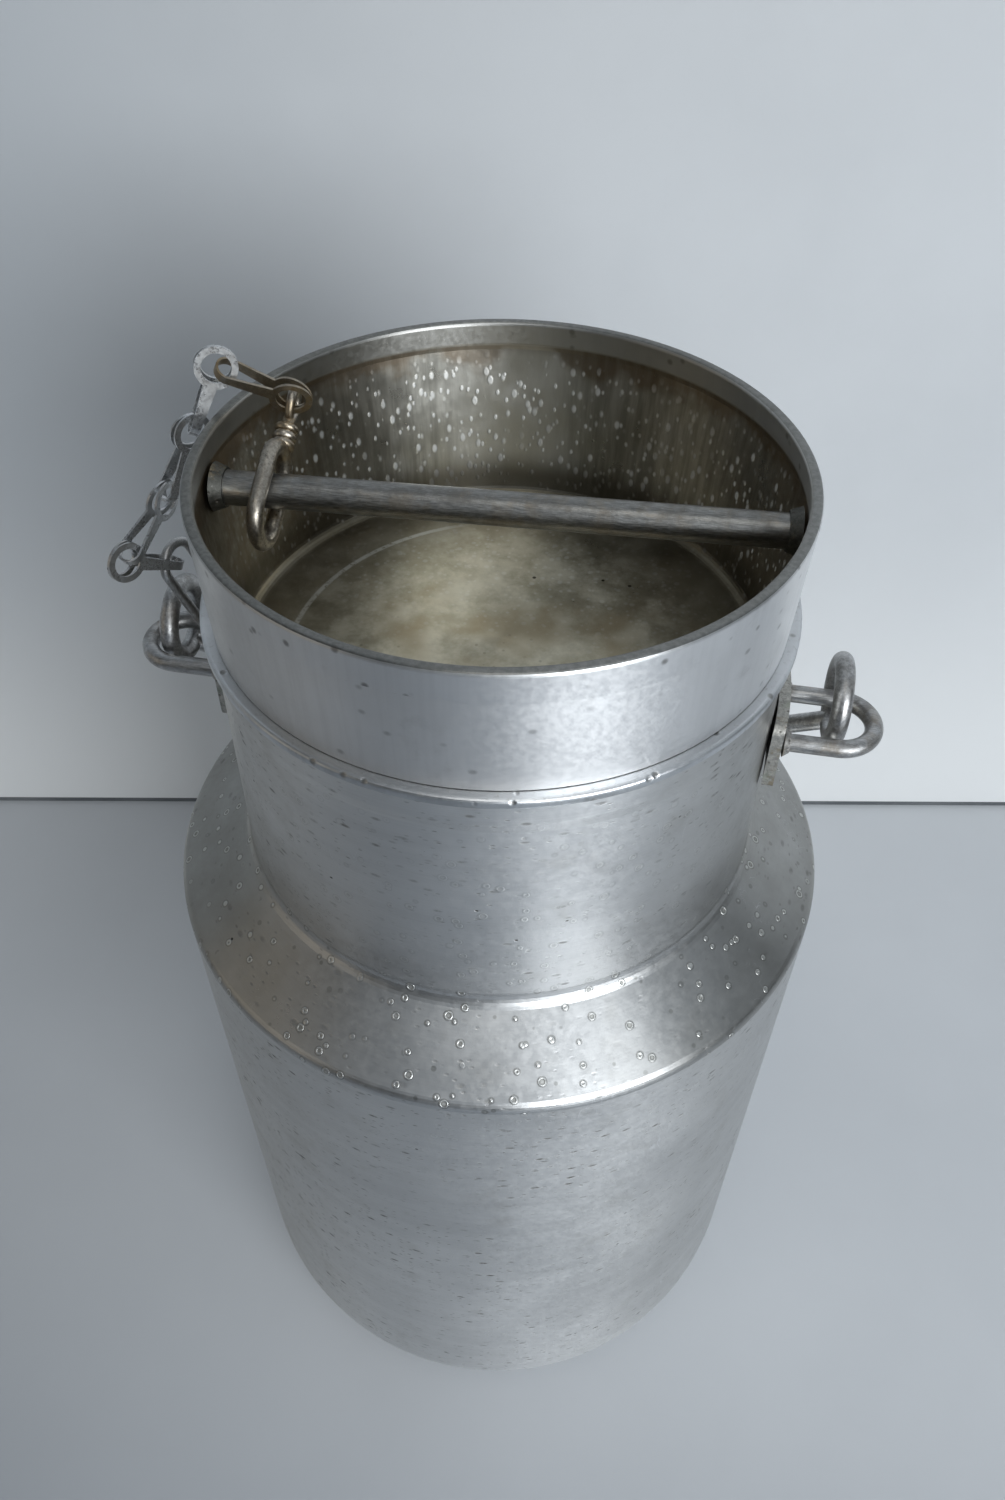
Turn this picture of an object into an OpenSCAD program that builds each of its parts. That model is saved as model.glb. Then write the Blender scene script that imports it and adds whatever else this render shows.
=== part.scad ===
// Aluminium milk can with a push-in lid, a wire bail and a sheet-metal tether chain.
// Origin: centre of the standing face. +Z up, +X through the right-hand ear. Millimetres.

/* [Can] */
// Outer radius of the can at the shoulder edge
body_r_top = 130; // [126:1:136]
// Outer radius of the can just above its bottom corner
body_r_low = 128; // [124:1:130]
// Radius of the bottom corner
corner_r = 58; // [50:1:64]
// Height of the shoulder edge above the floor
shoulder_z = 317; // [300:1:330]
// Sheet thickness of the can
wall = 2.4; // [2:0.1:3]

/* [Neck] */
// Outer radius of the neck where it meets the shoulder
neck_r = 99.5; // [98:0.5:102]
// Height where the shoulder meets the neck
neck_z = 339; // [335:1:345]
// Height of the top of the neck
neck_top_z = 445.8; // [442:0.2:450]
// Outer radius of the rolled neck rim
rim_r = 102; // [101.5:0.1:103]

/* [Lid] */
// Outer radius of the top edge of the lid
lid_r = 100.2; // [99.5:0.1:101]
// Height of the lid wall above the neck rim
lid_wall_h = 46.2; // [44:0.2:50]
// Depth of the plug below the seat
plug_h = 27; // [24:0.5:30]
// Sheet thickness of the lid
lid_wall = 2; // [1.6:0.1:2.4]
// Depth of the hemmed band at the lid's top edge
hem_h = 11; // [8:0.5:13]

/* [Cross bar] */
// Diameter of the bar
bar_d = 11.6; // [10:0.2:13]
// Depth of the bar's axis below the lid's top edge
bar_drop = 17; // [15:0.5:20]
// Turn of the lid, with its bar, in the neck
lid_turn = 3; // [0:1:6]

/* [Ears and bail] */
// Height of the staple legs above the floor
staple_z = 400; // [396:1:404]
// Distance between the axes of a staple's legs
leg_gap = 26; // [26:0.5:28]
// Diameter of the staple wire
staple_d = 6.5; // [6:0.1:7]
// Distance from the can's axis to the end of a staple's straight legs
leg_out = 122.3; // [121.3:0.5:123.3]
// Height of an ear plate
plate_h = 30; // [28:1:32]
// Width of an ear plate
plate_w = 44; // [40:1:46]
// Thickness of an ear plate
plate_t = 4; // [3:0.5:4.5]
// Diameter of the bail wire
bail_d = 7; // [6.5:0.1:7.2]
// Reach of the bail's crown from its pivot
bail_reach = 149; // [147:0.5:151]
// Angle of the bail below the horizontal when it lies on the shoulder
bail_down = 31; // [31:0.5:31.5]

/* [Chain] */
// Distance from one link's fold to its eyes
pitch = 26; // [26:0.5:26.5]
// Sheet thickness of a link
link_t = 0.8; // [0.7:0.05:0.9]
// Radius of the holes in a link's eyes
eye_r = 5; // [4.9:0.1:5.1]
// Outer radius of a link's eyes
head_r = 7.2; // [7:0.1:7.3]

/* [Hidden] */
$fn = 96;

can_grey = [0.72, 0.73, 0.75];
lid_grey = [0.66, 0.66, 0.66];
bar_grey = [0.50, 0.50, 0.50];
steel = [0.42, 0.42, 0.43];
brown_steel = [0.45, 0.40, 0.33];

seat_gap = 0.3;      // the lid's seat stays this far above the neck rim
plug_gap = 0.6;      // radial play of the plug in the neck
neck_in_r = neck_r - 0.5 - wall;
plug_r = neck_in_r - plug_gap;
seat_z = neck_top_z + seat_gap;
lid_top_z = seat_z + lid_wall_h;
bar_z = lid_top_z - bar_drop;
bail_y = 9.5;        // the bail turns about this line, inside its eyes
bail_z = staple_z + 3;
bail_shift = -2;     // the bail hangs this far to one side
eye_x = 124;         // plane of the bail's eyes, from the bail's own middle
eye_ring_r = 14;     // centreline radius of the bail's eyes
arm_x = 107;         // the bail's arms pass the neck at this distance
bail_corner_r = 80;

// ---- helpers ----

// Points of an arc about c from angle a0 to angle a1
function arc(c, r, a0, a1, n = 8) = [for (i = [0:n]) let (a = a0 + (a1 - a0) * i / n)
    [c[0] + r * cos(a), c[1] + r * sin(a)]];

// Unit vector of an azimuth and an elevation
function dir(az, el) = [cos(el) * cos(az), cos(el) * sin(az), sin(el)];

// Aims local +X along an azimuth and an elevation, rolled about itself
module aim(p, az, el, roll = 0) translate(p) rotate([0, 0, az]) rotate([0, -el, 0]) rotate([roll, 0, 0])
    children();

// Straight round wire from a to b
module wire(a, b, d) {
    v = b - a;
    translate(a) rotate([0, acos(v[2] / norm(v)), atan2(v[1], v[0])]) cylinder(d = d, h = norm(v), $fn = 32);
}

// Round knuckle that joins two straight wires
module knuckle(p, d) translate(p) sphere(d = d * 1.05, $fn = 32);

// Closed wire loop with straight sides: half-width w, centres of its round ends at x = 0 and x = length
module long_loop(w, length, d) {
    for (s = [-1, 1]) translate([0, s * w, 0]) rotate([0, 90, 0]) cylinder(d = d, h = length, $fn = 32);
    rotate([0, 0, 90]) rotate_extrude(angle = 180) translate([w, 0]) circle(d = d, $fn = 32);
    translate([length, 0, 0]) rotate([0, 0, -90]) rotate_extrude(angle = 180) translate([w, 0])
        circle(d = d, $fn = 32);
}

module torus(r, d) rotate_extrude() translate([r, 0]) circle(d = d, $fn = 32);

module revolve(points) rotate_extrude() polygon(points);

// ---- can ----

module base_pan() {
    foot_r = body_r_low - corner_r;
    c = [foot_r, corner_r];
    color(can_grey) revolve(concat([[0, 0]], arc(c, corner_r, -90, 0, 12),
        arc(c, corner_r - wall, 0, -90, 12), [[0, wall]]));
}

module body_wall() color(can_grey) revolve([
    [body_r_low, corner_r + 0.05], [body_r_top, shoulder_z], [body_r_top - wall, shoulder_z],
    [body_r_low - wall, corner_r + 0.05]]);

// Cone with a rounded outer edge and a fillet up to the neck
module shoulder() {
    edge_r = 5;
    fillet_r = 7;
    rise = neck_z - shoulder_z;
    run = body_r_top - neck_r;
    slope = atan(rise / run);
    edge_c = [body_r_top - edge_r, shoulder_z + 0.05];
    fillet_c = [neck_r + fillet_r, neck_z + fillet_r * 0.75];
    color(can_grey) revolve(concat(
        arc(edge_c, edge_r, 0, 90 - slope, 5),
        arc(fillet_c, fillet_r, 270 - slope, 180, 5),
        [[neck_r - wall, fillet_c[1]]],
        arc(fillet_c, fillet_r + wall, 180, 270 - slope, 5),
        arc(edge_c, edge_r - wall, 90 - slope, 0, 5)));
}

// The mouth is opened out a little above a faint crease
module neck() {
    foot = neck_z + 5.3;
    crease = neck_top_z - 15;
    top = neck_top_z - 4;
    slim = 0.5;
    color(can_grey) revolve([
        [neck_r, foot], [neck_r - slim, crease - 2], [neck_r, crease + 2], [neck_r, top],
        [neck_r - slim - wall, top], [neck_r - slim - wall, foot]]);
}

// Rolled edge with a flat top that carries the lid
module neck_rim() {
    round_r = 1.4;
    bottom = neck_top_z - 3.95;
    inner = neck_r - 0.5 - wall;
    color(can_grey) revolve(concat(
        [[inner, bottom]],
        arc([rim_r - round_r, bottom + round_r], round_r, -90, 0, 4),
        arc([rim_r - round_r, neck_top_z - round_r], round_r, 0, 90, 4),
        arc([inner + 0.8, neck_top_z - 0.8], 0.8, 90, 180, 3)));
}

// ---- ears ----

// Thick pad, bent to a larger radius than the neck, so its two ends stand off a little
module ear_plate() {
    bend_r = 160;
    back = neck_r + 0.25;
    corner = 4;
    color(steel) intersection() {
        translate([back - bend_r, 0, staple_z - plate_h / 2 - 1]) difference() {
            cylinder(r = bend_r + plate_t, h = plate_h, $fn = 192);
            translate([0, 0, -1]) cylinder(r = bend_r, h = plate_h + 2, $fn = 192);
        }
        translate([back - 10, 0, staple_z - 1]) rotate([0, 90, 0]) linear_extrude(20) {
            square([plate_h - 2 * corner, plate_w], center = true);
            square([plate_h, plate_w - 2 * corner], center = true);
            for (x = [-1, 1], y = [-1, 1]) translate([x * (plate_h / 2 - corner), y * (plate_w / 2 - corner)])
                circle(r = corner, $fn = 32);
        }
    }
}

plate_face_x = neck_r + 0.25 + plate_t;

// U of round wire in a level plane, its two legs ending on the plate
module staple() {
    root = plate_face_x - 0.3;
    color(steel) translate([0, 0, staple_z]) {
        for (s = [-1, 1]) translate([root, s * leg_gap / 2, 0]) rotate([0, 90, 0])
            cylinder(d = staple_d, h = leg_out - root, $fn = 32);
        translate([leg_out, 0, 0]) rotate([0, 0, -90]) rotate_extrude(angle = 180)
            translate([leg_gap / 2, 0]) circle(d = staple_d, $fn = 32);
    }
}

// Fillet rings where the four legs meet the plates
module staple_welds() {
    bead = 2.2;
    color(steel) for (side = [0, 180], s = [-1, 1]) rotate([0, 0, side])
        translate([plate_face_x - 0.17, s * leg_gap / 2, staple_z]) rotate([0, 90, 0])
            difference() {
                cylinder(r1 = staple_d / 2 + bead, r2 = staple_d / 2 + 0.6, h = bead, $fn = 32);
                translate([0, 0, -1]) cylinder(d = staple_d + 0.02, h = bead + 2, $fn = 32);
            }
}

// ---- bail ----

// A point at distance s from the bail's pivot line, at an angle below the horizontal
function bail_point(x, s, below) = [x, bail_y + s * cos(below), bail_z - s * sin(below)];

module bail_arm() {
    a = bail_point(eye_x - 0.5, eye_ring_r, 75);
    b = bail_point(arm_x + 1.5, 25.5, 70);
    c = bail_point(arm_x, 43, 47);
    d = bail_point(arm_x, bail_reach - bail_corner_r, bail_down);
    wire(a, b, bail_d);
    wire(b, c, bail_d);
    wire(c, d, bail_d);
    for (p = [b, c, d]) knuckle(p, bail_d);
    translate([eye_x, bail_y, bail_z]) rotate([0, 90, 0]) torus(eye_ring_r, bail_d);
}

module bail_handle() {
    corner_x = arm_x - bail_corner_r;
    color(steel) translate([bail_shift, 0, 0]) {
        for (m = [0, 1]) mirror([m, 0, 0]) bail_arm();
        translate([0, bail_y, bail_z]) rotate([-bail_down, 0, 0]) {
            for (m = [0, 1]) mirror([m, 0, 0]) translate([corner_x, bail_reach - bail_corner_r, 0])
                rotate_extrude(angle = 90) translate([bail_corner_r, 0]) circle(d = bail_d, $fn = 32);
            translate([-corner_x, bail_reach, 0]) rotate([0, 90, 0])
                cylinder(d = bail_d, h = 2 * corner_x, $fn = 32);
        }
    }
}

// ---- lid ----

// Deep cup: plug below the seat, seat step, flared wall up to the hem; the inside is one smooth cone
module lid_cup() {
    floor_z = seat_z - plug_h;
    corner = 6;
    draft = 1.2;
    seat_r = lid_r - 2.2;
    top = lid_top_z - hem_h;
    top_r = lid_r - 0.5;
    color(lid_grey) revolve(concat(
        [[0, floor_z]],
        arc([plug_r - draft - corner, floor_z + corner], corner, -90, 0, 6),
        [[plug_r, seat_z - 2], [plug_r, seat_z], [seat_r, seat_z], [top_r, top], [top_r - lid_wall, top]],
        arc([plug_r - draft - corner, floor_z + corner], corner - lid_wall, 0, -90, 6),
        [[0, floor_z + lid_wall]]));
}

// Hem: the top of the wall folded over to a thick rounded edge
module lid_rim() {
    hem_t = 3.9;
    bottom = lid_top_z - hem_h + 0.05;
    inner = lid_r - hem_t;
    color(lid_grey) revolve(concat(
        [[inner + 0.9, bottom], [lid_r - 0.45, bottom]],
        arc([lid_r - 1.3, lid_top_z - 1.3], 1.3, 0, 90, 4),
        arc([inner + 1.3, lid_top_z - 1.3], 1.3, 90, 180, 4)));
}

bar_half = lid_r - 0.5 - lid_wall - 1.6;

module cross_bar() color(bar_grey) rotate([0, 0, lid_turn]) translate([-bar_half, 0, bar_z]) rotate([0, 90, 0])
    cylinder(d = bar_d, h = 2 * bar_half, $fn = 48);

// Crimped collar at each end of the bar
module bar_welds() {
    collar_l = 4;
    color(bar_grey) for (side = [0, 180]) rotate([0, 0, lid_turn + side])
        translate([bar_half - 0.3 - collar_l, 0, bar_z]) rotate([0, 90, 0]) difference() {
            cylinder(r1 = bar_d / 2 + 0.8, r2 = bar_d / 2 + 2.4, h = collar_l, $fn = 48);
            translate([0, 0, -1]) cylinder(d = bar_d + 0.02, h = collar_l + 2, $fn = 48);
        }
}

// ---- tether chain ----

tie_at = -77;        // place of the tie ring along the bar
tie_tilt = 25.6;      // the ring lies on the bar with its eye raised by this angle
tie_d = 5.5;
tie_w = 9.3;
tie_eye_r = 6.2;     // centreline radius of its small eye
tie_eye_d = 3;
tie_eye_s = 34;      // distance from the bar's axis to the eye
tie_eye_roll = 11;
tie_eye_turn = 101.7; // where round its eye the first link hangs
tie_point = [tie_at * cos(lid_turn), tie_at * sin(lid_turn), bar_z];
eye_centre = tie_point + tie_eye_s * dir(90, tie_tilt);
eye_lift = sin(tie_eye_turn) * cos(tie_eye_roll);
eye_point = eye_centre + tie_eye_r * [sin(tie_eye_turn) * sin(tie_eye_roll),
    cos(tie_eye_turn) * cos(tie_tilt) - eye_lift * sin(tie_tilt),
    cos(tie_eye_turn) * sin(tie_tilt) + eye_lift * cos(tie_tilt)];

// How each link lies: azimuth, elevation and roll
chain_lay = [[194.1, 26.8, -111.7], [-159.1, -63.1, -91.9], [-138.4, -57.1, -97.6], [-112.2, -28.5, -100.8],
    [65.3, -31.4, 89.7]];
function link_point(i) = i == 0 ? eye_point : link_point(i - 1) + pitch * dir(chain_lay[i - 1][0], chain_lay[i - 1][1]);

// Stadium loop round the bar, a wrapped stem and a small eye, in one wire
module tie_ring() {
    low = -9;
    high = 6;
    stem_0 = high + tie_w;
    stem_1 = tie_eye_s - tie_eye_r;
    wraps = 3;
    stem_d = 4.4;
    color(brown_steel) aim(tie_point, 90, tie_tilt, 90) {
        translate([low, 0, 0]) long_loop(tie_w, high - low, tie_d);
        translate([stem_0 - 1, 0, 0]) rotate([0, 90, 0]) 
            cylinder(d = stem_d, h = stem_1 - stem_0 + 1, $fn = 32);
        for (i = [0:wraps - 1]) translate([stem_0 + 2.2 + 3.1 * i, 0, 0]) rotate([0, 90, 0])
            torus(2.5, 3.2);
        translate([tie_eye_s, 0, 0]) rotate([tie_eye_roll, 0, 0]) torus(tie_eye_r, tie_eye_d);
    }
}

// Figure-of-eight strip folded in half: two eyes face to face at the origin, the fold at x = pitch
module folded_link() translate([pitch, 0, 0]) rotate([0, 0, 180]) {
    fold_in_r = 3.6;
    fold_out_r = fold_in_r + link_t;
    fold_x = fold_out_r - link_t / 2;
    strip_w = 3;
    head_gap = 0.7;
    splay = atan((fold_in_r - head_gap) / (pitch - fold_x));
    for (s = [0, 1]) mirror([0, 0, s]) translate([fold_x, 0, fold_in_r]) rotate([0, splay, 0])
        linear_extrude(link_t) difference() {
            union() {
                polygon([[0, -strip_w / 2], [0, strip_w / 2], [pitch - fold_x - 4, strip_w / 2 + 1],
                    [pitch - fold_x - 4, -strip_w / 2 - 1]]);
                translate([pitch - fold_x, 0]) circle(r = head_r, $fn = 48);
            }
            translate([pitch - fold_x, 0]) circle(r = eye_r, $fn = 48);
        }
    translate([fold_x, strip_w / 2, 0]) rotate([90, 0, 0]) linear_extrude(strip_w) difference() {
        circle(r = fold_out_r, $fn = 48);
        circle(r = fold_in_r, $fn = 48);
        translate([0.15, -10]) square(20);
    }
}

module chain_link(i, tint) color(tint) aim(link_point(i), chain_lay[i][0], chain_lay[i][1], chain_lay[i][2])
    folded_link();

module chain_link_1() chain_link(0, brown_steel);
module chain_link_2() chain_link(1, can_grey);
module chain_link_3() chain_link(2, can_grey);
module chain_link_4() chain_link(3, can_grey);
module chain_link_5() chain_link(4, can_grey);

// Long wire ring from the last link's fold down round the back leg of the left staple
hook_point = [-111.5, leg_gap / 2, staple_z];
end_ring_d = 3.6;
end_ring_w = 7.5;
end_ring_roll = -69.8;

module chain_end_ring() {
    top = link_point(5);
    v = top - hook_point;
    color(steel) aim(hook_point, atan2(v[1], v[0]), asin(v[2] / norm(v)), end_ring_roll)
        long_loop(end_ring_w, norm(v), end_ring_d);
}

// ---- nodes ----

body_wall();
base_pan();
shoulder();
neck();
neck_rim();
ear_plate();  // right_ear_plate
mirror([1, 0, 0]) ear_plate();  // left_ear_plate
staple();  // right_staple
mirror([1, 0, 0]) staple();  // left_staple
staple_welds();
bail_handle();
lid_cup();
lid_rim();
cross_bar();
bar_welds();
tie_ring();
chain_link_1();
chain_link_2();
chain_link_3();
chain_link_4();
chain_link_5();
chain_end_ring();
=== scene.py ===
"""Milk can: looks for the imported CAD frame. Metres, the CAD's own frame."""
import bpy
import math
from mathutils import Matrix, Vector

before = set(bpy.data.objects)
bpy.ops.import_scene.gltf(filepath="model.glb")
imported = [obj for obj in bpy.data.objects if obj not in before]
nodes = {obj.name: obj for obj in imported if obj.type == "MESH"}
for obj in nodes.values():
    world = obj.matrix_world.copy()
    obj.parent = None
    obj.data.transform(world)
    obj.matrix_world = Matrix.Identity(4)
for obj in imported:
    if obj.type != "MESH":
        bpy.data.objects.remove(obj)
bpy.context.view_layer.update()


# ---------------------------------------------------------------- shader helpers

class Shader:
    """Builds one procedural material; lengths inside it are in millimetres."""

    def __init__(self, name):
        self.mat = bpy.data.materials.new(name)
        self.mat.use_nodes = True
        self.nt = self.mat.node_tree
        self.nt.nodes.clear()
        self.out = self.add("ShaderNodeOutputMaterial")
        self.bsdf = self.add("ShaderNodeBsdfPrincipled")
        self.link(self.bsdf.outputs[0], self.out.inputs[0])
        coord = self.add("ShaderNodeTexCoord").outputs["Object"]
        self.p = self.vec("SCALE", coord, scale=1000.0)
        sep = self.add("ShaderNodeSeparateXYZ")
        self.link(self.p, sep.inputs[0])
        self.x, self.y, self.z = sep.outputs
        flat = self.vec("MULTIPLY", self.p, (1.0, 1.0, 0.0))
        self.flat = flat
        self.r = self.vec("LENGTH", flat)

    def add(self, kind, **props):
        node = self.nt.nodes.new(kind)
        for k, v in props.items():
            setattr(node, k, v)
        return node

    def link(self, a, b):
        self.nt.links.new(a, b)

    def put(self, socket, value):
        if isinstance(value, bpy.types.NodeSocket):
            self.link(value, socket)
        elif isinstance(value, (tuple, list)) and len(value) == 3 and socket.type == "RGBA":
            socket.default_value = (*value, 1.0)
        else:
            socket.default_value = value

    def vec(self, op, a, b=None, scale=None):
        n = self.add("ShaderNodeVectorMath", operation=op)
        self.put(n.inputs[0], a)
        if b is not None:
            self.put(n.inputs[1], b)
        if scale is not None:
            n.inputs["Scale"].default_value = scale
        return n.outputs["Value"] if op in ("LENGTH", "DOT_PRODUCT", "DISTANCE") else n.outputs["Vector"]

    def math(self, op, a, b=None, c=None, clamp=False):
        n = self.add("ShaderNodeMath", operation=op, use_clamp=clamp)
        for i, v in enumerate((a, b, c)):
            if v is not None:
                self.put(n.inputs[i], v)
        return n.outputs[0]

    def mul(self, *values):
        out = values[0]
        for v in values[1:]:
            out = self.math("MULTIPLY", out, v)
        return out

    def ramp(self, value, lo, hi, to_lo=0.0, to_hi=1.0, smooth=True):
        kind = "SMOOTHSTEP" if smooth else "LINEAR"
        n = self.add("ShaderNodeMapRange", interpolation_type=kind, clamp=True)
        for s, v in zip(n.inputs[:5], (value, lo, hi, to_lo, to_hi)):
            self.put(s, v)
        return n.outputs[0]

    def band(self, value, centre, half, soft):
        """1 within half of centre, falling to 0 over soft."""
        d = self.math("ABSOLUTE", self.math("SUBTRACT", value, centre))
        return self.ramp(d, half, half + soft, 1.0, 0.0)

    def noise(self, scale, detail=3.0, rough=0.55, stretch=(1, 1, 1), shift=(0, 0, 0), distort=0.0):
        """Cloudy noise about 0.5; scale is in features per millimetre."""
        n = self.add("ShaderNodeTexNoise")
        v = self.vec("MULTIPLY_ADD", self.p, tuple(float(k) for k in stretch))
        v.node.inputs[2].default_value = shift
        self.link(v, n.inputs["Vector"])
        for k, val in (("Scale", scale), ("Detail", detail), ("Roughness", rough), ("Distortion", distort)):
            n.inputs[k].default_value = val
        return n.outputs[0]

    def cells(self, size, stretch=(1, 1, 1), shift=(0, 0, 0)):
        """Distance to the nearest cell point in mm, and two random numbers of that cell."""
        n = self.add("ShaderNodeTexVoronoi", feature="F1")
        v = self.vec("MULTIPLY_ADD", self.p, tuple(float(k) for k in stretch))
        v.node.inputs[2].default_value = shift
        self.link(v, n.inputs["Vector"])
        n.inputs["Scale"].default_value = 1.0 / size
        d = self.math("MULTIPLY", n.outputs["Distance"], float(size))
        pick = self.add("ShaderNodeSeparateColor")
        self.link(n.outputs["Color"], pick.inputs[0])
        return d, pick.outputs[0], pick.outputs[1]

    def mix(self, fac, a, b):
        n = self.add("ShaderNodeMix", data_type="RGBA", blend_type="MIX")
        self.put(n.inputs[0], fac)
        self.put(n.inputs[6], a)
        self.put(n.inputs[7], b)
        return n.outputs[2]

    def bump(self, height, distance, strength=1.0, below=None):
        """height is 0 to 1; distance in millimetres."""
        n = self.add("ShaderNodeBump")
        n.inputs["Strength"].default_value = strength
        n.inputs["Distance"].default_value = distance / 1000.0
        self.put(n.inputs["Height"], height)
        if below is not None:
            self.link(below, n.inputs["Normal"])
        return n.outputs[0]

    def tangent(self):
        """Turns the highlights round the can's axis, as spinning does."""
        n = self.add("ShaderNodeTangent", direction_type="RADIAL", axis="Z")
        self.link(n.outputs[0], self.bsdf.inputs["Tangent"])

    def finish(self, colour, rough, normal=None, metallic=1.0, aniso=0.0):
        b = self.bsdf.inputs
        self.put(b["Base Color"], colour)
        self.put(b["Roughness"], rough)
        self.put(b["Metallic"], metallic)
        if aniso:
            b["Anisotropic"].default_value = aniso
            b["Anisotropic Rotation"].default_value = 0.25
        if normal is not None:
            self.link(normal, b["Normal"])
        return self.mat


def scaled(c, k):
    return tuple(min(1.0, v * k) for v in c)


# ---------------------------------------------------------------- materials

def can_metal(name, tone, rough, pit_amount, ring_amount, brown_and_shade_amount, aniso=0.55, side_shade_amount=0.0):
    """Spun aluminium, worn satin: thin pits, dried droplets, brown stain with painted shade on the left,
    painted shade on the sides.
    """
    s = Shader(name)
    cloud = s.noise(0.012, 4, 0.6)
    patch = s.noise(0.05, 4, 0.6, shift=(7, 3, 1))
    fine = s.noise(0.35, 5, 0.65, shift=(1, 9, 4))
    spun = s.noise(1.0, 3, 0.6, stretch=(0.03, 0.03, 2.2))
    spun_wide = s.noise(1.0, 2, 0.5, stretch=(0.006, 0.006, 0.16), shift=(3, 1, 2))
    colour = s.mix(s.ramp(cloud, 0.3, 0.7), scaled(tone, 0.90), scaled(tone, 1.06))
    colour = s.mix(s.ramp(spun, 0.35, 0.7, 0.0, 0.28), colour, scaled(tone, 0.78))
    colour = s.mix(s.ramp(spun_wide, 0.35, 0.65, 0.0, 0.22), colour, scaled(tone, 1.15))
    colour = s.mix(s.ramp(patch, 0.55, 0.75, 0.0, 0.25), colour, (0.44, 0.43, 0.40))
    # brown stain, with painted shade, strongest on the left
    left = s.ramp(s.x, 10.0, -120.0)
    brown_and_left_shade = s.mul(left, s.ramp(patch, 0.2, 0.8, 0.45, 1.0), brown_and_shade_amount)
    colour = s.mix(brown_and_left_shade, colour, (0.40, 0.36, 0.28))
    # painted shade on both sides
    side_shade_mask = s.mul(s.ramp(s.math("ABSOLUTE", s.x), 35.0, 110.0), s.ramp(patch, 0.1, 0.7, 0.7, 1.0), side_shade_amount)
    colour = s.mix(side_shade_mask, colour, (0.27, 0.265, 0.245))
    # thin pits that follow the spinning
    region = s.ramp(s.noise(0.022, 3, 0.6, shift=(2, 2, 5)), 0.38, 0.62)
    d1, pick1, _ = s.cells(7.0, (0.7, 0.7, 1.9))
    d2, pick2, _ = s.cells(3.4, (0.8, 0.8, 2.4), (4, 4, 4))
    pits = s.math("MAXIMUM",
                  s.mul(s.ramp(d1, 0.6, 1.7, 1.0, 0.0), s.ramp(pick1, 0.30, 0.5)),
                  s.mul(s.ramp(d2, 0.3, 0.95, 1.0, 0.0), s.ramp(pick2, 0.35, 0.55), 0.85))
    pits = s.mul(pits, s.ramp(region, 0.0, 1.0, 0.25, 1.0), s.ramp(fine, 0.3, 0.55, 0.35, 1.0), pit_amount)
    colour = s.mix(pits, colour, (0.15, 0.145, 0.135))
    # dried droplets: a pale rim round a dull middle
    d3, pick3, size3 = s.cells(6.2, (1, 1, 1), (11, 5, 2))
    rad = s.ramp(size3, 0.0, 1.0, 0.7, 1.35, smooth=False)
    edge = s.math("ABSOLUTE", s.math("SUBTRACT", d3, rad))
    wet = s.ramp(s.noise(0.02, 2, 0.5, shift=(1, 8, 8)), 0.34, 0.46, 0.45, 1.0)
    keep = s.mul(s.ramp(pick3, 0.08, 0.16), wet, s.ramp(s.z, 436.0, 420.0), ring_amount)
    ring = s.mul(s.ramp(edge, 0.12, 0.36, 1.0, 0.0), keep)
    inner = s.mul(s.ramp(s.math("SUBTRACT", rad, d3), 0.1, 0.5), keep)
    colour = s.mix(s.mul(inner, 0.45), colour, (0.38, 0.38, 0.35))
    colour = s.mix(s.mul(ring, 0.5), colour, (0.80, 0.80, 0.76))
    shadow_rim = s.mul(s.band(edge, 0.5, 0.08, 0.22), keep)
    colour = s.mix(s.mul(shadow_rim, 0.5), colour, (0.22, 0.22, 0.20))
    # dark specks and a few long scratches
    d4, pick4, _ = s.cells(16.0, (1, 1, 1.6), (3, 8, 9))
    specks = s.mul(s.ramp(d4, 0.45, 0.75, 1.0, 0.0), s.ramp(pick4, 0.45, 0.5))
    colour = s.mix(specks, colour, (0.06, 0.055, 0.05))
    scratch_at = s.noise(1.0, 1, 0.5, stretch=(0.16, 0.16, 0.03), shift=(8, 2, 6), distort=1.2)
    scratch_where = s.ramp(s.noise(0.03, 2, shift=(9, 9, 1)), 0.55, 0.68)
    scratch = s.mul(s.band(scratch_at, 0.5, 0.0012, 0.0022), scratch_where)
    colour = s.mix(s.mul(scratch, 0.6), colour, (0.80, 0.81, 0.82))
    roughness = s.ramp(cloud, 0.3, 0.7, rough - 0.04, rough + 0.05)
    roughness = s.math("ADD", roughness, s.ramp(fine, 0.35, 0.7, -0.03, 0.05))
    dull = s.mul(s.math("MAXIMUM", pits, inner), 0.22)
    roughness = s.math("ADD", roughness, dull, clamp=True)
    n = s.bump(spun, 0.02, 0.35)
    n = s.bump(s.noise(0.02, 2, 0.5, shift=(5, 5, 5)), 1.2, 0.35, n)
    n = s.bump(fine, 0.05, 0.5, n)
    n = s.bump(s.math("SUBTRACT", 1.0, s.math("MAXIMUM", pits, specks)), 0.16, 0.8, n)
    n = s.bump(ring, 0.14, 0.9, n)
    s.tangent()
    return s.finish(colour, roughness, n, aniso=aniso)


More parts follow.
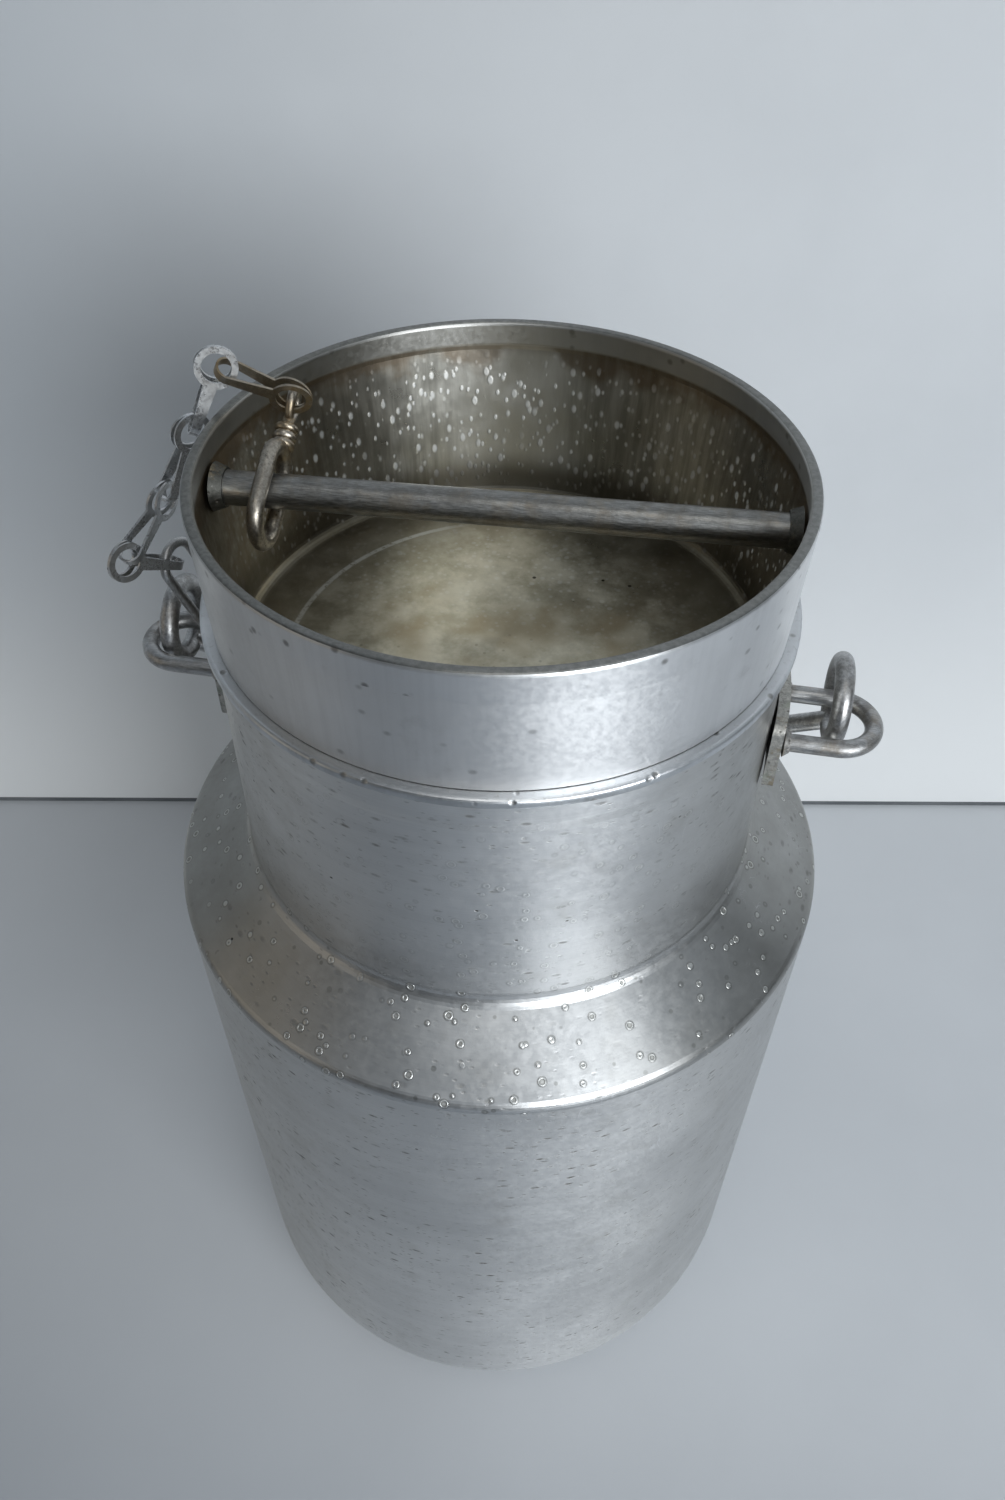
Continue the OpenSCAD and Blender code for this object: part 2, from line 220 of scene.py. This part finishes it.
def rim_metal(name, tone, rough):
    """Rolled edge: a painted highlight on its upward faces, nicked, dark grime in fine patches."""
    s = Shader(name)
    fine = s.noise(0.5, 5, 0.65)
    patch = s.noise(0.06, 4, 0.6)
    up = s.add("ShaderNodeSeparateXYZ")
    s.link(s.add("ShaderNodeNewGeometry").outputs["Normal"], up.inputs[0])
    # painted highlight: upward faces paler
    top = s.ramp(up.outputs[2], 0.3, 0.9)
    colour = s.mix(s.ramp(patch, 0.35, 0.65), scaled(tone, 0.82), scaled(tone, 1.08))
    colour = s.mix(s.mul(top, 0.65), colour, (0.74, 0.75, 0.76))
    nick_d, nick_pick, _ = s.cells(5.5, (1, 1, 1))
    nicks = s.mul(s.ramp(nick_d, 0.5, 1.5, 1.0, 0.0), s.ramp(nick_pick, 0.62, 0.72))
    colour = s.mix(s.mul(nicks, 0.7), colour, (0.24, 0.23, 0.21))
    colour = s.mix(s.ramp(fine, 0.55, 0.75, 0.0, 0.4), colour, (0.34, 0.33, 0.31))
    roughness = s.ramp(fine, 0.3, 0.7, rough - 0.06, rough + 0.08)
    n = s.bump(fine, 0.06, 0.7)
    n = s.bump(s.math("SUBTRACT", 1.0, nicks), 0.25, 0.8, n)
    s.tangent()
    return s.finish(colour, roughness, n, aniso=0.4)


def lid_metal(name, tone, rough, hem=False):
    """Satin outside; milk film, water spots and specks inside. A hem is darker on its upward face, and
    nicked.
    """
    s = Shader(name)
    geo = s.add("ShaderNodeNewGeometry")
    nsep = s.add("ShaderNodeSeparateXYZ")
    s.link(geo.outputs["Normal"], nsep.inputs[0])
    radial = s.vec("NORMALIZE", s.flat)
    facing = s.vec("DOT_PRODUCT", geo.outputs["Normal"], radial)
    if hem:
        out_face = s.math("MAXIMUM", s.ramp(facing, -0.75, -0.45), s.ramp(s.z, 482.6, 484.2))
    else:
        out_face = s.ramp(facing, 0.25, 0.6)
    inside = s.math("SUBTRACT", 1.0, out_face)
    floor = s.mul(inside, s.ramp(nsep.outputs[2], 0.6, 0.9))
    wall = s.mul(inside, s.ramp(nsep.outputs[2], 0.7, 0.3))
    cloud = s.noise(0.014, 4, 0.6)
    patch = s.noise(0.05, 5, 0.65, shift=(3, 5, 1))
    fine = s.noise(0.5, 5, 0.65, shift=(1, 7, 4))
    spun = s.noise(1.0, 3, 0.6, stretch=(0.03, 0.03, 2.0))
    streak = s.noise(1.0, 3, 0.6, stretch=(0.35, 0.35, 0.012), shift=(2, 4, 3))
    rings = s.add("ShaderNodeTexNoise")
    ring_v = s.add("ShaderNodeCombineXYZ")
    s.link(s.mul(s.r, 1.6), ring_v.inputs[0])
    s.link(s.mul(s.x, 0.02), ring_v.inputs[1])
    s.link(ring_v.outputs[0], rings.inputs["Vector"])
    rings.inputs["Scale"].default_value = 1.0
    rings.inputs["Detail"].default_value = 2.0
    lathe = rings.outputs[0]
    # outside
    clean = s.mix(s.ramp(cloud, 0.3, 0.7), scaled(tone, 0.93), scaled(tone, 1.05))
    clean = s.mix(s.ramp(streak, 0.4, 0.7, 0.0, 0.22), clean, scaled(tone, 0.80))
    clean = s.mix(s.ramp(patch, 0.56, 0.78, 0.0, 0.30), clean, (0.42, 0.42, 0.41))
    d0, pick0, _ = s.cells(8.0, (1, 1, 1.3), (5, 3, 2))
    smears = s.mul(s.ramp(d0, 0.5, 1.8, 1.0, 0.0), s.ramp(pick0, 0.68, 0.8), 0.45)
    clean = s.mix(smears, clean, (0.27, 0.27, 0.26))
    # painted shade on the left side of the lid's outside
    clean = s.mix(s.ramp(s.x, -20.0, -95.0, 0.0, 0.7), clean, (0.30, 0.29, 0.27))
    if hem:
        # the hem's upward face is made darker
        top = s.ramp(nsep.outputs[2], 0.45, 0.85)
        dull = s.mix(s.ramp(fine, 0.35, 0.65), (0.10, 0.10, 0.09), (0.19, 0.19, 0.175))
        clean = s.mix(s.mul(top, 0.85), clean, dull)
        dn, pn, _ = s.cells(6.0, (1, 1, 1), (1, 2, 3))
        nicks = s.mul(s.ramp(dn, 0.5, 1.6, 1.0, 0.0), s.ramp(pn, 0.5, 0.62))
        clean = s.mix(s.mul(nicks, 0.75), clean, (0.20, 0.19, 0.18))
        clean = s.mix(s.ramp(facing, -0.45, -0.75, 0.0, 0.55), clean, (0.36, 0.35, 0.31))
    # inside film
    film = s.mix(s.ramp(patch, 0.35, 0.65), (0.36, 0.33, 0.245), (0.64, 0.60, 0.48))
    stain = s.ramp(s.noise(0.025, 3, 0.6, shift=(9, 1, 2)), 0.45, 0.65, 0.0, 0.75)
    film = s.mix(stain, film, (0.33, 0.27, 0.17))
    wall_film = s.mix(s.ramp(streak, 0.35, 0.7), (0.40, 0.39, 0.35), (0.58, 0.57, 0.52))
    # painted highlight: a bright streak down the back of the wall
    back_streak_highlight = s.mul(s.band(s.x, -13.0, 10.0, 24.0), 0.8, s.ramp(s.y, 20.0, 60.0))
    wall_film = s.mix(back_streak_highlight, wall_film, (0.84, 0.83, 0.78))
    # brown stain with painted shade on both sides of the inner wall
    brown_and_side_shade = s.mul(s.ramp(s.math("ABSOLUTE", s.x), 45.0, 92.0), s.ramp(patch, 0.3, 0.6), 0.7)
    wall_film = s.mix(brown_and_side_shade, wall_film, (0.22, 0.17, 0.10))
    inner = s.mix(s.ramp(wall, 0.3, 0.7), film, wall_film)
    # a dark brown wavy band at the top of the inner wall, under the hem
    wave = s.math("ADD", s.z, s.ramp(s.noise(0.035, 4, 0.6, shift=(4, 4, 9)), 0.3, 0.7, -5.0, 6.0))
    hem_line = s.mul(s.ramp(wave, 473.0, 481.0), wall)
    inner = s.mix(s.mul(hem_line, 0.62), inner, (0.20, 0.13, 0.065))
    # water spots: stretched on the wall, round on the floor
    w1, wp1, _ = s.cells(4.4, (1, 1, 0.6), (1, 6, 2))
    w2, wp2, _ = s.cells(2.7, (1, 1, 0.65), (7, 2, 9))
    dense = s.ramp(s.noise(0.03, 3, 0.6, shift=(6, 1, 8)), 0.30, 0.52, 0.45, 1.0)
    back = s.ramp(s.y, -10.0, 45.0, 0.25, 1.0)
    spots = s.math("MAXIMUM",
                   s.mul(s.ramp(w1, 0.6, 1.35, 1.0, 0.0), s.ramp(wp1, 0.12, 0.3)),
                   s.mul(s.ramp(w2, 0.35, 0.9, 1.0, 0.0), s.ramp(wp2, 0.2, 0.4)))
    spots = s.mul(spots, dense, back, s.ramp(s.r, 99.3, 98.6), s.ramp(wall, 0.2, 0.8, 0.30, 1.0),
                  s.ramp(s.z, 482.0, 470.0))
    inner = s.mix(s.mul(spots, 0.80), inner, (0.90, 0.90, 0.88))
    # dark specks, most of them towards the front of the floor
    k1, kp1, _ = s.cells(5.0, (1, 1, 1), (2, 9, 4))
    k2, kp2, _ = s.cells(13.0, (1, 1, 1), (6, 3, 8))
    front = s.ramp(s.y, 20.0, -70.0, 0.08, 1.0)
    specks = s.math("MAXIMUM",
                    s.mul(s.ramp(k1, 0.4, 0.8, 1.0, 0.0), s.ramp(kp1, 0.35, 0.5), front),
                    s.mul(s.ramp(k2, 0.55, 0.85, 1.0, 0.0), s.ramp(kp2, 0.5, 0.6)))
    specks = s.mul(specks, floor)
    inner = s.mix(s.mul(specks, 0.9), inner, (0.05, 0.04, 0.03))
    # painted shade in the corner of the floor, deepest at the sides
    floor_corner_shade = s.mul(inside, s.ramp(s.z, 442.0, 428.0), s.ramp(s.r, 40.0, 88.0, 0.0, 0.8))
    inner = s.mix(floor_corner_shade, inner, (0.12, 0.105, 0.075))
    # a pale scraped arc near the left of the floor
    arc_r = s.vec("LENGTH", s.vec("SUBTRACT", s.flat, (6.0, -8.0, 0.0)))
    arc = s.mul(s.band(arc_r, 80.0, 0.5, 0.8), s.ramp(s.x, -20.0, -45.0), s.ramp(fine, 0.3, 0.5), floor)
    inner = s.mix(s.mul(arc, 0.6), inner, (0.72, 0.72, 0.68))
    colour = s.mix(inside, clean, inner)
    rough_in = s.math("ADD", s.ramp(patch, 0.3, 0.7, 0.27, 0.42), s.mul(spots, 0.25))
    rough_out = s.ramp(fine, 0.3, 0.7, rough - 0.04, rough + 0.06)
    roughness = s.add("ShaderNodeMix", data_type="FLOAT")
    s.put(roughness.inputs[0], inside)
    s.put(roughness.inputs[2], rough_out)
    s.put(roughness.inputs[3], rough_in)
    n = s.bump(spun, 0.02, 0.3)
    n = s.bump(s.mul(lathe, floor), 0.03, 0.5, n)
    n = s.bump(fine, 0.05, 0.5, n)
    n = s.bump(s.noise(0.018, 2, 0.5, shift=(5, 5, 5)), 1.4, 0.35, n)
    n = s.bump(s.mul(spots, inside), 0.10, 0.8, n)
    s.tangent()
    return s.finish(colour, roughness.outputs[0], n, aniso=0.75)


def wire_metal(name, tone, rough, brown, along="x", dirt=0.5, grit=1.0):
    """Drawn wire: grain along its length, dark tarnish in patches, rubbed bright spots."""
    s = Shader(name)
    stretch = {"x": (0.25, 2.5, 2.5), "z": (2.5, 2.5, 0.25), "none": (1, 1, 1)}[along]
    grain = s.noise(1.0, 4, 0.65, stretch=stretch)
    patch = s.noise(0.11, 5, 0.7, shift=(2, 7, 1))
    fine = s.noise(1.3, 5, 0.7, shift=(4, 2, 8))
    dark, pale = scaled(tone, 1.0 - 0.28 * grit), scaled(tone, 1.0 + 0.22 * grit)
    colour = s.mix(s.ramp(grain, 0.32, 0.68), dark, pale)
    colour = s.mix(s.mul(s.ramp(patch, 0.42, 0.66), dirt), colour, (0.16, 0.15, 0.135))
    rust = s.ramp(s.noise(0.07, 4, 0.7, shift=(8, 8, 2)), 0.48, 0.64)
    colour = s.mix(s.mul(rust, brown), colour, (0.33, 0.25, 0.15))
    colour = s.mix(s.ramp(fine, 0.58, 0.72, 0.0, 0.5 * grit), colour, scaled(tone, 1.55))
    roughness = s.ramp(grain, 0.3, 0.7, rough - 0.06, rough + 0.07)
    roughness = s.math("ADD", roughness, s.ramp(patch, 0.4, 0.7, 0.0, 0.14))
    n = s.bump(grain, 0.06 * grit, 0.6)
    n = s.bump(fine, 0.05 * grit, 0.6, n)
    n = s.bump(patch, 0.5 * grit, 0.4, n)
    return s.finish(colour, roughness, n)


def cast_metal(name, tone, rough):
    """Rough mottled pad: casting grain, brown and greenish stains."""
    s = Shader(name)
    grain = s.noise(0.6, 6, 0.75)
    patch = s.noise(0.12, 5, 0.7, shift=(3, 3, 7))
    stain = s.noise(0.09, 4, 0.7, shift=(8, 1, 4))
    colour = s.mix(s.ramp(grain, 0.3, 0.7), scaled(tone, 0.6), scaled(tone, 1.35))
    colour = s.mix(s.ramp(patch, 0.5, 0.66, 0.0, 0.65), colour, (0.30, 0.24, 0.15))
    colour = s.mix(s.ramp(stain, 0.56, 0.68, 0.0, 0.45), colour, (0.30, 0.34, 0.26))
    colour = s.mix(s.ramp(grain, 0.62, 0.75, 0.0, 0.6), colour, (0.70, 0.70, 0.68))
    d, pick, _ = s.cells(2.2)
    holes = s.mul(s.ramp(d, 0.2, 0.7, 1.0, 0.0), s.ramp(pick, 0.55, 0.7))
    colour = s.mix(s.mul(holes, 0.7), colour, (0.10, 0.09, 0.08))
    n = s.bump(grain, 0.25, 0.8)
    n = s.bump(s.math("SUBTRACT", 1.0, holes), 0.3, 0.7, n)
    return s.finish(colour, s.ramp(grain, 0.3, 0.7, rough - 0.08, rough + 0.12), n)


def paint(name, colour_a, colour_b, rough, scale):
    """Plain painted wall or table with faint cloudiness, in its own coordinates."""
    s = Shader(name)
    cloud = s.noise(scale, 4, 0.55)
    fine = s.noise(0.4, 3, 0.6)
    colour = s.mix(s.ramp(cloud, 0.3, 0.7), colour_a, colour_b)
    colour = s.mix(s.ramp(fine, 0.6, 0.75, 0.0, 0.06), colour, scaled(colour_a, 0.8))
    n = s.bump(fine, 0.08, 0.25)
    return s, colour, s.ramp(cloud, 0.3, 0.7, rough - 0.04, rough + 0.04), n


CAN = (0.78, 0.785, 0.785)
LID = (0.86, 0.865, 0.87)
MATERIALS = {
    "body_wall": can_metal("body_worn", scaled(CAN, 0.92), 0.42, 1.0, 0.15, 0.25, side_shade_amount=0.3),
    "base_pan": can_metal("base_worn", scaled(CAN, 0.92), 0.42, 1.0, 0.15, 0.25, side_shade_amount=0.3),
    "shoulder": can_metal("shoulder_worn", scaled(CAN, 0.85), 0.33, 0.45, 1.0, 0.55,
                          aniso=0.25, side_shade_amount=0.8),
    "neck": can_metal("neck_worn", CAN, 0.38, 0.65, 0.30, 0.45, side_shade_amount=0.8),
    "neck_rim": rim_metal("neck_rim_worn", (0.60, 0.62, 0.64), 0.36),
    "lid_cup": lid_metal("lid_worn", LID, 0.42),
    "cross_bar": wire_metal("bar_dull", (0.27, 0.27, 0.26), 0.36, 0.20, "x", 0.55),
    "bar_welds": cast_metal("bar_collar", (0.11, 0.11, 0.10), 0.5),
    "ear_plates": cast_metal("ear_plate_rough", (0.46, 0.45, 0.42), 0.48),
    "staples": wire_metal("staple_wire", (0.46, 0.46, 0.46), 0.34, 0.25, "x", 0.6),
    "welds": cast_metal("weld_bead", (0.40, 0.39, 0.37), 0.5),
    "bail": wire_metal("bail_wire", (0.48, 0.48, 0.48), 0.34, 0.15, "none", 0.5),
    "tie": wire_metal("tie_wire", (0.44, 0.40, 0.34), 0.32, 0.65, "none", 0.45),
    "brown_link": wire_metal("link_brown", (0.42, 0.37, 0.30), 0.34, 0.8, "none", 0.45, grit=0.5),
    "link": wire_metal("link_bright", (0.66, 0.67, 0.68), 0.27, 0.12, "none", 0.35, grit=0.2),
    "end_ring": wire_metal("end_ring_wire", (0.50, 0.50, 0.50), 0.32, 0.2, "z", 0.5),
}
MATERIALS["lid_rim"] = lid_metal("lid_hem_worn", LID, 0.38, hem=True)
OF_NODE = {
    "right_ear_plate": "ear_plates", "left_ear_plate": "ear_plates", "right_staple": "staples",
    "left_staple": "staples", "staple_welds": "welds", "bail_handle": "bail", "tie_ring": "tie",
    "chain_link_1": "brown_link", "chain_link_2": "link", "chain_link_3": "link",
    "chain_link_4": "link", "chain_link_5": "link", "chain_end_ring": "end_ring",
}
for name, obj in nodes.items():
    obj.data.materials.clear()
    obj.data.materials.append(MATERIALS[OF_NODE.get(name, name)])
    obj.data.shade_smooth()
    obj.data.set_sharp_from_angle(angle=math.radians(40))


# ---------------------------------------------------------------- camera, room and light

CAM_AT = Vector((0.05754772, -0.32539035, 0.69774))
CAM_R = Vector((0.9840202, 0.17793152, 0.00667968))
CAM_U = Vector((-0.13114672, 0.69888975, 0.70310288))
CAM_F = Vector((-0.12043581, 0.69274346, -0.71105676))

cam_data = bpy.data.cameras.new("camera")
cam_data.sensor_fit = "AUTO"
cam_data.sensor_width = 36.0
cam_data.lens = 28.8
cam_data.clip_start = 0.01
cam_data.clip_end = 50.0
cam = bpy.data.objects.new("camera", cam_data)
bpy.context.scene.collection.objects.link(cam)
turn = Matrix((CAM_R, CAM_U, -CAM_F)).transposed()
cam.matrix_world = Matrix.Translation(CAM_AT) @ turn.to_4x4()
bpy.context.scene.camera = cam


def quad(name, corners, material):
    mesh = bpy.data.meshes.new(name)
    mesh.from_pydata([tuple(c) for c in corners], [], [tuple(range(4))])
    obj = bpy.data.objects.new(name, mesh)
    bpy.context.scene.collection.objects.link(obj)
    mesh.materials.append(material)
    return obj


def one_sided(s):
    """Makes a finished material clear from behind."""
    mixer = s.add("ShaderNodeMixShader")
    s.link(s.add("ShaderNodeNewGeometry").outputs["Backfacing"], mixer.inputs[0])
    s.link(s.bsdf.outputs[0], mixer.inputs[1])
    s.link(s.add("ShaderNodeBsdfTransparent").outputs[0], mixer.inputs[2])
    s.link(mixer.outputs[0], s.out.inputs[0])
    return s.mat


# two points of the line where the wall meets the table, and sizes of the staged room in metres
WALL_A = Vector((-0.3611, 0.2430, 0.0))
WALL_B = Vector((0.2568, 0.3543, 0.0))
WALL_DIR = (WALL_B - WALL_A).normalized()
WALL_OUT = Vector((WALL_DIR.y, -WALL_DIR.x, 0.0))
TABLE_HALF = 3.0
WALL_HALF = 2.5
WALL_HEIGHT = 2.2
JOINT_HEIGHT = 0.004
JOINT_GAP = 0.002

s, colour, rough, bump = paint("table_white", (0.60, 0.62, 0.645), (0.64, 0.66, 0.685), 0.42, 0.004)
# painted shade: the table darker towards the front and towards the left
colour = s.mix(s.ramp(s.y, -40.0, -380.0, 0.0, 0.9), colour, (0.27, 0.295, 0.33))
colour = s.mix(s.ramp(s.x, -40.0, -330.0, 0.0, 0.35), colour, (0.26, 0.27, 0.285))
table_mat = s.finish(colour, rough, bump, metallic=0.0)
s, colour, rough, bump = paint("wall_white", (0.66, 0.68, 0.70), (0.70, 0.72, 0.74), 0.6, 0.006)
# painted shade towards the top left of the wall
wall_top_left_shade = s.mul(s.ramp(s.x, 0.0, -480.0), s.ramp(s.z, 60.0, 420.0))
# painted light: the wall paler towards the bottom
colour = s.mix(s.ramp(s.z, 330.0, 20.0), colour, (0.86, 0.87, 0.87))
s.finish(s.mix(wall_top_left_shade, colour, (0.50, 0.535, 0.57)), rough, bump, metallic=0.0)
wall_mat = one_sided(s)

mid = WALL_A + WALL_DIR * 0.3
quad("table", [(x * TABLE_HALF, y * TABLE_HALF, 0.0) for x, y in ((-1, -1), (1, -1), (1, 1), (-1, 1))],
     table_mat)
a, b = mid - WALL_DIR * WALL_HALF, mid + WALL_DIR * WALL_HALF
up = Vector((0.0, 0.0, WALL_HEIGHT))
quad("wall", [a, b, b + up, a + up], wall_mat)
# a thin dark strip at the foot of the wall: painted shadow of the gap between wall and table
s, colour, rough, bump = paint("gap_shadow_dark", (0.10, 0.11, 0.12), (0.16, 0.17, 0.18), 0.6, 0.02)
a, b, up = a + WALL_OUT * JOINT_GAP, b + WALL_OUT * JOINT_GAP, Vector((0.0, 0.0, JOINT_HEIGHT))
s.finish(colour, rough, bump, metallic=0.0)
quad("wall_gap_shadow", [a, b, b + up, a + up], one_sided(s))


def area(name, at, to, size, size_y, power, colour):
    data = bpy.data.lights.new(name, "AREA")
    data.shape = "RECTANGLE"
    data.size, data.size_y = size, size_y
    data.energy = power
    data.color = colour
    obj = bpy.data.objects.new(name, data)
    obj.location = at
    obj.rotation_mode = "QUATERNION"
    obj.rotation_quaternion = (Vector(to) - Vector(at)).to_track_quat("-Z", "Y")
    bpy.context.scene.collection.objects.link(obj)
    return obj


area("window", (1.15, -1.45, 0.95), (0.0, 0.0, 0.35), 1.1, 1.1, 28.0, (0.93, 0.97, 1.0))
area("upper_window", (0.94, -0.80, 1.60), (0.0, 0.0, 0.35), 0.45, 0.45, 0.30, (0.96, 0.98, 1.0))
area("ceiling", (0.10, -0.52, 1.75), (0.0, 0.0, 0.4), 0.50, 0.50, 1.7, (1.0, 0.985, 0.94))
area("left_lamp", (-1.5, -0.7, 0.7), (-0.5, 0.2, 0.1), 1.4, 1.2, 1.6, (1.0, 0.93, 0.82))

world = bpy.data.worlds.new("room")
world.use_nodes = True
bpy.context.scene.world = world
nt = world.node_tree
nt.nodes.clear()
w_out = nt.nodes.new("ShaderNodeOutputWorld")
w_bg = nt.nodes.new("ShaderNodeBackground")
w_co = nt.nodes.new("ShaderNodeTexCoord")
w_dot = nt.nodes.new("ShaderNodeVectorMath")
w_dot.operation = "DOT_PRODUCT"
w_dot.inputs[1].default_value = (0.35, -0.25, 0.60)
w_ramp = nt.nodes.new("ShaderNodeValToRGB")
w_ramp.color_ramp.elements[0].position = 0.0
w_ramp.color_ramp.elements[0].color = (0.05, 0.048, 0.043, 1.0)
w_ramp.color_ramp.elements[1].position = 0.70
w_ramp.color_ramp.elements[1].color = (0.56, 0.62, 0.68, 1.0)
e = w_ramp.color_ramp.elements.new(0.35)
e.color = (0.17, 0.185, 0.20, 1.0)
nt.links.new(w_co.outputs["Generated"], w_dot.inputs[0])
nt.links.new(w_dot.outputs["Value"], w_ramp.inputs[0])
nt.links.new(w_ramp.outputs[0], w_bg.inputs[0])
w_bg.inputs[1].default_value = 0.6
nt.links.new(w_bg.outputs[0], w_out.inputs[0])

bpy.context.scene.view_settings.view_transform = "Standard"
